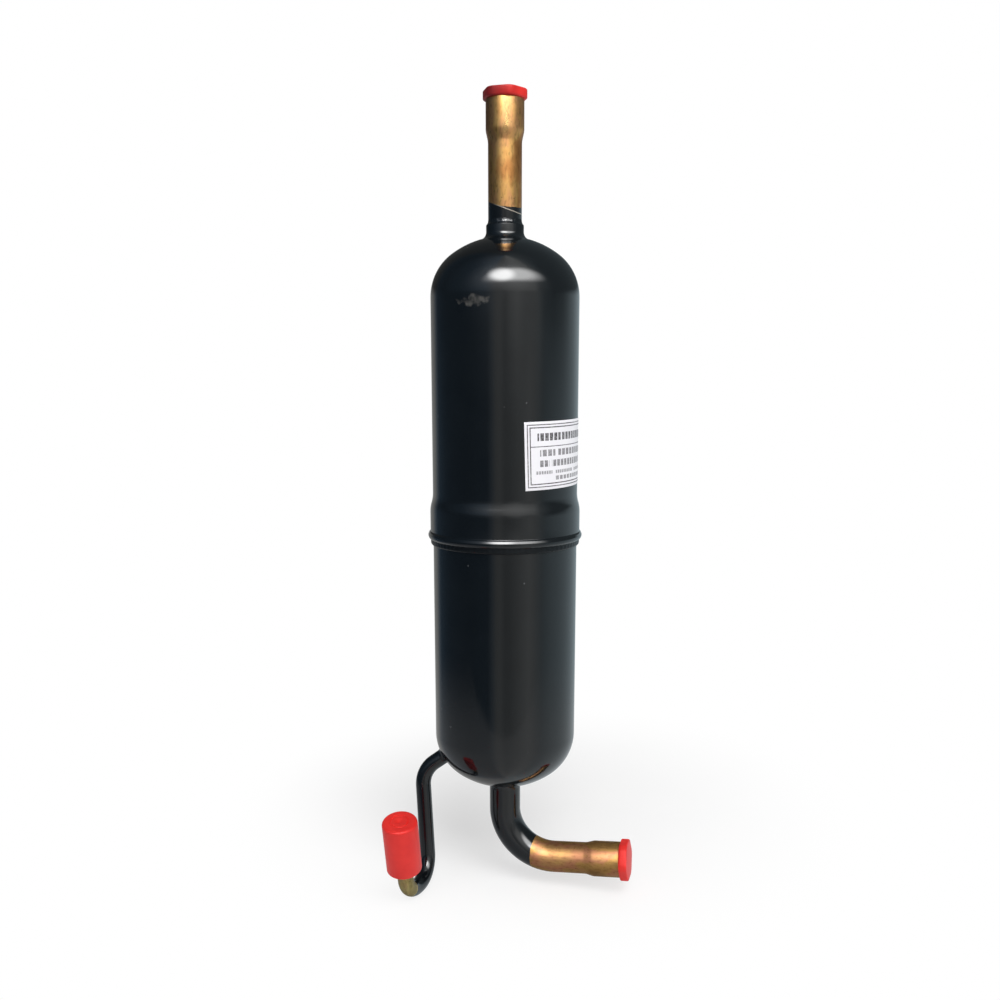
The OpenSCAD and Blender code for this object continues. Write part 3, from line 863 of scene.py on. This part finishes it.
strength = add(
    tree, "MapRange", {"Value": worn, "From Min": 0.3, "From Max": 0.55, "To Min": 0.7}
)
cover = add(tree, "Math", {0: ink, 1: strength}, operation="MULTIPLY")
pulp = add(tree, "TexNoise", {"Vector": where, "Scale": per(5), "Detail": 3})
paper = add(tree, "Mix", {0: pulp, 6: linear("#f1eff5"), 7: linear("#fbfafd")}, data_type="RGBA")
film_shader = add(
    tree,
    "BsdfPrincipled",
    {
        "Base Color": add(tree, "Mix", {0: cover, 6: paper, 7: linear("#2b2428")}, data_type="RGBA"),
        "Roughness": 0.42,
        "IOR": 1.46,
        "Normal": add(tree, "Bump", {"Height": pulp, "Distance": 0.01 * MM}),
    },
)
add(tree, "OutputMaterial", {"Surface": film_shader})
finish(label, "vessel", "label_film", printed, "label")

# Transit plugs
# Push-in plugs moulded from red polyethylene: a hollow stem that fits the socket and a
# hexagonal flange with rounded corners that seats on the tube's rim.
FLATS = 15.6
FLANGE_T = 3.4
FLANGE_CORNER = 2
FLANGE_RIM = 0.55
STEM_R = 6.35
STEM_WALL = 1.2
STEM_LEN = 9
STEM_CHAMFER = 0.8
STEM_ROOT = 0.4
OUTLET_PLUG_TURN = 30


def plug(name, seat):
    """Hexagon pulled up to a flange with its corners and rims bevelled, then the stem joined on."""
    piece = begin(
        name,
        bpy.ops.mesh.primitive_circle_add,
        vertices=6,
        radius=FLATS / 2 / math.cos(math.pi / 6) * MM,
        fill_type="NGON",
        rotation=(0, 0, math.pi / 2),
    )
    bpy.ops.object.transform_apply(location=True, rotation=True, scale=True)
    bpy.ops.object.mode_set(mode="EDIT")
    bpy.ops.mesh.select_all(action="SELECT")
    bpy.ops.mesh.extrude_region_move(TRANSFORM_OT_translate={"value": (0, 0, FLANGE_T * MM)})
    bpy.ops.mesh.select_all(action="SELECT")
    bpy.ops.mesh.normals_make_consistent(inside=False)
    bpy.ops.mesh.select_all(action="DESELECT")
    bpy.ops.mesh.select_mode(type="EDGE")
    bpy.ops.object.mode_set(mode="OBJECT")
    points = piece.data.vertices
    for edge in piece.data.edges:
        low, high = (points[i].co.z for i in edge.vertices)
        edge.select = abs(low - high) > MM
    bpy.ops.object.mode_set(mode="EDIT")
    bpy.ops.mesh.bevel(offset=FLANGE_CORNER * MM, segments=6)
    bpy.ops.mesh.select_mode(type="VERT")
    bpy.ops.object.mode_set(mode="OBJECT")
    soften(piece, FLANGE_RIM, segments=4, angle=60)
    stem = turn(
        "stem",
        [
            (STEM_R - STEM_WALL, STEM_ROOT),
            (STEM_R, STEM_ROOT),
            (STEM_R, STEM_CHAMFER - STEM_LEN),
            (STEM_R - STEM_CHAMFER, -STEM_LEN),
            (STEM_R - STEM_WALL, -STEM_LEN),
        ],
        steps=64,
        at=Matrix.Identity(4),
    )
    apply_modifier(piece, "BOOLEAN", object=stem, operation="UNION")
    bpy.data.objects.remove(stem)
    settle(piece, seat)
    smooth(35)
    return piece


def moulded(name, lit_side=None):
    """Moulded polyethylene: waxy and slightly see-through, so edges glow, with a soft grained skin
    that is drawn coarse enough to show. A plug may carry painted shade away from its lit side."""
    material, tree, where = new_material(name)
    swirl = add(tree, "TexNoise", {"Vector": where, "Scale": per(6), "Detail": 3})
    skin = add(tree, "TexNoise", {"Vector": where, "Scale": per(0.5), "Detail": 2})
    red = add(
        tree, "Mix", {0: swirl, 6: linear("#d01f1c"), 7: linear("#e8322a")}, data_type="RGBA"
    )
    # Painted shade: the red darkens towards the side away from the light.
    if lit_side:
        side = add(tree, "VectorMath", {0: where, 1: lit_side / MM}, operation="DOT_PRODUCT")
        lit_share = add(tree, "MapRange", {"Value": side, "From Min": -5, "From Max": 6})
        red = add(tree, "Mix", {0: lit_share, 6: linear("#7c1214"), 7: red}, data_type="RGBA")
    shader = add(
        tree,
        "BsdfPrincipled",
        {
            "Base Color": red,
            "Roughness": add(tree, "MapRange", {"Value": swirl, "To Min": 0.38, "To Max": 0.52}),
            "IOR": 1.5,
            "Specular IOR Level": 0.35,
            "Subsurface Weight": 0.12,
            "Subsurface Radius": (1.0, 0.25, 0.2),
            "Subsurface Scale": 1.2 * MM,
            "Normal": add(tree, "Bump", {"Height": skin, "Distance": 0.012 * MM}),
        },
    )
    add(tree, "OutputMaterial", {"Surface": shader})
    return material


plastic = moulded("red_moulded_polyethylene")
# The inlet plug gets painted shade, a darker red on its side towards -X, away from the light.
shaded_plastic = moulded("red_moulded_polyethylene_painted_shade", across)
rim_gap = Matrix.Translation((0, 0, GAP * MM))
inlet_seat = seam @ Matrix.Translation((0, 0, INLET_MOUTH * MM)) @ rim_gap
outlet_seat = outlet_end @ rim_gap @ Matrix.Rotation(math.radians(OUTLET_PLUG_TURN), 4, "Z")
for body, seat, red in (("inlet_plug", inlet_seat, shaded_plastic), ("outlet_plug", outlet_seat, plastic)):
    finish(plug(body + "_moulding", seat), body, "red_plastic", red, body)

# Oil return cap
# A thick push-on cap of the same plastic, with a rounded upper edge, and a ring and the dimple of
# the mould's gate in its top. Its bore grips the end of the thin tube.
CAP_R = 7
CAP_LEN = 23
CAP_COVER = 17
CAP_EDGE = 1.2
CAP_BORE = OIL_R + 0.05
RING_IN = 3.2
RING_OUT = 3.8
GATE_IN = 1.2
GATE_OUT = 1.5
TOP_SUNK = 0.3
cap_sunk = CAP_LEN - TOP_SUNK
cap = turn(
    "oil_return_cap_moulding",
    [(0, cap_sunk), (GATE_IN, cap_sunk), (GATE_OUT, CAP_LEN), (RING_IN, CAP_LEN)]
    + [(RING_IN, cap_sunk), (RING_OUT, cap_sunk), (RING_OUT, CAP_LEN)]
    + arc((CAP_R - CAP_EDGE, CAP_LEN - CAP_EDGE), CAP_EDGE, 90, 0, 8)
    + [(CAP_R, 0), (CAP_BORE, 0), (CAP_BORE, CAP_COVER), (0, CAP_COVER)],
    steps=128,
    at=oil_end @ Matrix.Translation((0, 0, (GAP - CAP_COVER) * MM)),
    closed=False,
)
soften(cap, width=0.25, angle=50)
finish(cap, "oil_return_cap", "red_plastic", plastic, "oil_return_cap")

# Stage
# A pale sweep of paper under the object, soft daylight all round, a window high in front, and
# the camera where the photograph was taken. Lengths here are in metres.
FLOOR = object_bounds()[0][2] - 0.1 * MM
FLOOR_FRONT = 0.22
FLOOR_BACK = 3.0
FLOOR_SIDE = 3.0
SHADOW_ASIDE = 0.02
SHADOW_BEHIND = 0.083
CAMERA_AZIMUTH = -75
CAMERA_REACH = 0.4114
CAMERA_HEIGHT = 0.0052
CAMERA_TILT = 79.25


def heading(angle, elevation):
    """Direction from the object at an angle right of the camera and an elevation, in degrees."""
    turned = math.radians(CAMERA_AZIMUTH + angle)
    lift = math.radians(elevation)
    return Vector(
        (math.cos(turned) * math.cos(lift), math.sin(turned) * math.cos(lift), math.sin(lift))
    )


forward = heading(0, 0)
floor = begin("paper_floor", bpy.ops.mesh.primitive_plane_add, size=1)
floor.scale = (2 * FLOOR_SIDE, FLOOR_FRONT + FLOOR_BACK, 1)
floor.rotation_euler = (0, 0, math.radians(CAMERA_AZIMUTH + 90))
floor.location = forward * (FLOOR_FRONT - FLOOR_BACK) / 2 + Vector((0, 0, FLOOR))
bpy.ops.object.transform_apply(location=True, rotation=True, scale=True)
sheet, tree, where = new_material("white_paper")
fibre = add(tree, "TexNoise", {"Vector": where, "Scale": per(40), "Detail": 2})
white = add(tree, "Mix", {0: fibre, 6: linear("#fafafa"), 7: linear("#fefefe")}, data_type="RGBA")
matte = add(tree, "BsdfDiffuse", {"Color": white})
# Away from the heart of the object's shadow the paper runs into the white backdrop. Gloss sees
# the paper end in the room, further out.
shadow_heart = across * SHADOW_ASIDE - forward * SHADOW_BEHIND + Vector((0, 0, FLOOR))
from_heart = add(tree, "VectorMath", {0: where, 1: shadow_heart}, operation="DISTANCE")
fade = add(
    tree,
    "MapRange",
    {"Value": from_heart, "From Max": 0.16, "To Min": 0.15},
    interpolation_type="SMOOTHSTEP",
)
away = add(tree, "VectorMath", {0: where}, operation="LENGTH")
mirror_fade = add(
    tree,
    "MapRange",
    {"Value": away, "From Min": 0.22, "From Max": 0.46, "To Min": 0.55},
    interpolation_type="SMOOTHSTEP",
)
ray = add(tree, "LightPath").outputs
to_backdrop = add(tree, "Math", {0: fade, 1: ray["Is Camera Ray"]}, operation="MULTIPLY")
to_room = add(tree, "Math", {0: mirror_fade, 1: ray["Is Glossy Ray"]}, operation="MULTIPLY")
glow = add(tree, "Emission", {"Color": (1, 1, 1, 1), "Strength": 1.0})
paper_seen = add(tree, "MixShader", {0: to_backdrop, 1: matte, 2: glow})
open_air = add(tree, "BsdfTransparent")
paper_shader = add(tree, "MixShader", {0: to_room, 1: paper_seen, 2: open_air})
add(tree, "OutputMaterial", {"Surface": paper_shader})
floor.data.materials.append(sheet)

# Tones of the room that gloss mirrors, at angles right of the camera in degrees: below the
# horizon, a little above it and high up, and its tints.
LOW = (
    (-180, 0.35), (-160, 0.38), (-142, 0.45), (-126, 0.14), (-100, 0.1), (-60, 0.08), (-27, 0.1),
    (-14, 0.45), (-8, 0.5), (0, 0.36), (8, 0.38), (20, 0.52), (38, 0.75), (50, 0.6), (60, 0.5),
    (80, 0.66), (100, 0.72), (120, 0.74), (140, 0.7), (160, 0.52), (180, 0.45),
)
HIGH = (
    (-180, 0.3), (-160, 0.32), (-142, 0.3), (-128, 0.08), (-100, 0.07), (-60, 0.1), (-27, 0.11),
    (-14, 0.36), (-8, 0.38), (0, 0.2), (8, 0.5), (18, 0.74), (30, 0.52), (40, 0.52), (52, 0.62),
    (62, 0.3), (80, 0.16), (100, 0.26), (118, 0.58), (140, 0.7), (160, 0.6), (180, 0.4),
)
TOP = (
    (-180, 0.08), (-110, 0.06), (-65, 0.18), (-36, 0.3), (-6, 0.42), (8, 0.7), (20, 0.9),
    (46, 0.85), (56, 0.4), (78, 0.22), (120, 0.16), (180, 0.1),
)
PLAIN = (0.98, 1.0, 0.98)
NIGHT_BLUE = (0.6, 0.97, 1.4)
SKY = (0.82, 1.0, 1.08)
TINT = (
    (-180, PLAIN), (-142, PLAIN), (-124, NIGHT_BLUE), (-30, NIGHT_BLUE), (-14, PLAIN), (45, PLAIN),
    (66, SKY), (180, SKY),
)
# Angle right of the camera, elevation, width and height of each pane in degrees, its brightness,
# and the share of it that is even.
PANES = (
    (-6, 42, 32, 26, 12, 0.6),
    (16, 42, 66, 26, 9, 0.6),
    (4, 36, 72, 48, 1.1, 0.3),
    (0, 66, 44, 50, 0.3, 0.3),
)
DAYLIGHT = 0.52
world = bpy.data.worlds.new("studio")
bpy.context.scene.world = world
world.use_nodes = True
tree = world.node_tree
tree.nodes.clear()
ray = add(tree, "LightPath").outputs
ray_way = add(tree, "TexCoord").outputs["Generated"]
way = add(tree, "SeparateXYZ", {0: ray_way}).outputs
round_about = add(tree, "Math", {0: way["Y"], 1: way["X"]}, operation="ARCTAN2")
# 0 to 1 round the horizon, with the camera's own direction at one half.
turns = {0: round_about, 1: 1 / math.tau, 2: 0.5 - CAMERA_AZIMUTH / 360}
share = add(tree, "Math", turns, operation="MULTIPLY_ADD")
wrapped = add(tree, "Math", {0: share}, operation="FRACT")


def room(tones):
    """Tone of the room round the horizon."""
    stops = [
        ((angle + 180) / 360, (tone if isinstance(tone, tuple) else (tone,) * 3) + (1,))
        for angle, tone in tones
    ]
    return add(tree, "ValToRGB", {"Fac": wrapped}, stops)


def pane(before, angle, elevation, width, height, level, core):
    """Soft-edged window pane that gloss mirrors, added to what is there before."""
    facing = heading(angle, elevation)
    right = Vector((0, 0, 1)).cross(facing).normalized()
    spread = [
        add(
            tree,
            "VectorMath",
            {0: ray_way, 1: axis / math.sin(math.radians(size / 2))},
            operation="DOT_PRODUCT",
        )
        for axis, size in ((right, width), (facing.cross(right), height))
    ]
    toward = add(tree, "VectorMath", {0: ray_way, 1: facing}, operation="DOT_PRODUCT")
    ahead = add(tree, "Math", {0: toward, 1: 0.2}, operation="GREATER_THAN")
    on_pane = add(tree, "CombineXYZ", {0: spread[0], 1: spread[1]})
    off = add(tree, "VectorMath", {0: on_pane}, operation="LENGTH")
    shine = add(
        tree,
        "MapRange",
        {"Value": off, "From Min": 2 - core, "From Max": core, "To Max": level},
        interpolation_type="SMOOTHSTEP",
    )
    shown = add(tree, "Math", {0: shine, 1: ahead}, operation="MULTIPLY")
    return add(tree, "VectorMath", {0: before, 1: shown}, operation="ADD")


above = add(tree, "MapRange", {"Value": way["Z"], "From Min": -0.05, "From Max": 0.12})
grey_room = add(tree, "Mix", {0: above, 6: room(LOW), 7: room(HIGH)}, data_type="RGBA")
higher = add(tree, "MapRange", {"Value": way["Z"], "From Min": 0.09, "From Max": 0.17})
tall_room = add(tree, "Mix", {0: higher, 6: grey_room, 7: room(TOP)}, data_type="RGBA")
mirrored = add(
    tree, "Mix", {0: 1.0, 6: tall_room, 7: room(TINT)}, data_type="RGBA", blend_type="MULTIPLY"
)
for sizes in PANES:
    mirrored = pane(mirrored, *sizes)
daylight = (DAYLIGHT,) * 3 + (1,)
seen = add(tree, "Mix", {0: ray["Is Glossy Ray"], 6: daylight, 7: mirrored}, data_type="RGBA")
backdrop = add(tree, "Mix", {0: ray["Is Camera Ray"], 6: seen, 7: (1, 1, 1, 1)}, data_type="RGBA")
light = add(tree, "Background", {"Color": backdrop, "Strength": 1.0})
add(tree, "OutputWorld", {"Surface": light})


def window(name, angle, elevation, width, height, level, distance=1.2):
    """Soft lamp at an angle right of the camera, sized by angle in degrees. Gloss mirrors the
    panes above instead of it."""
    lamp = bpy.data.lights.new(name, "AREA")
    lamp.shape = "RECTANGLE"
    lamp.size = 2 * distance * math.tan(math.radians(width / 2))
    lamp.size_y = 2 * distance * math.tan(math.radians(height / 2))
    lamp.energy = level * math.pi * lamp.size * lamp.size_y
    holder = bpy.data.objects.new(name, lamp)
    bpy.context.scene.collection.objects.link(holder)
    holder.location = heading(angle, elevation) * distance
    holder.rotation_euler = heading(angle, elevation).to_track_quat("Z", "Y").to_euler()
    holder.visible_glossy = False


window("window_bright", 24, 48, 40, 32, level=5.6)
window("ceiling_light", 0, 88, 60, 60, level=0.12)

camera = bpy.data.cameras.new("camera")
camera.sensor_width = 36
camera.lens = 37.44
camera.shift_x = -0.005
camera.shift_y = 0.08
camera.clip_start = 0.01
viewer = bpy.data.objects.new("camera", camera)
bpy.context.scene.collection.objects.link(viewer)
viewer.location = forward * CAMERA_REACH + Vector((0, 0, CAMERA_HEIGHT))
viewer.rotation_euler = (math.radians(CAMERA_TILT), 0, math.radians(CAMERA_AZIMUTH + 90))
bpy.context.scene.camera = viewer
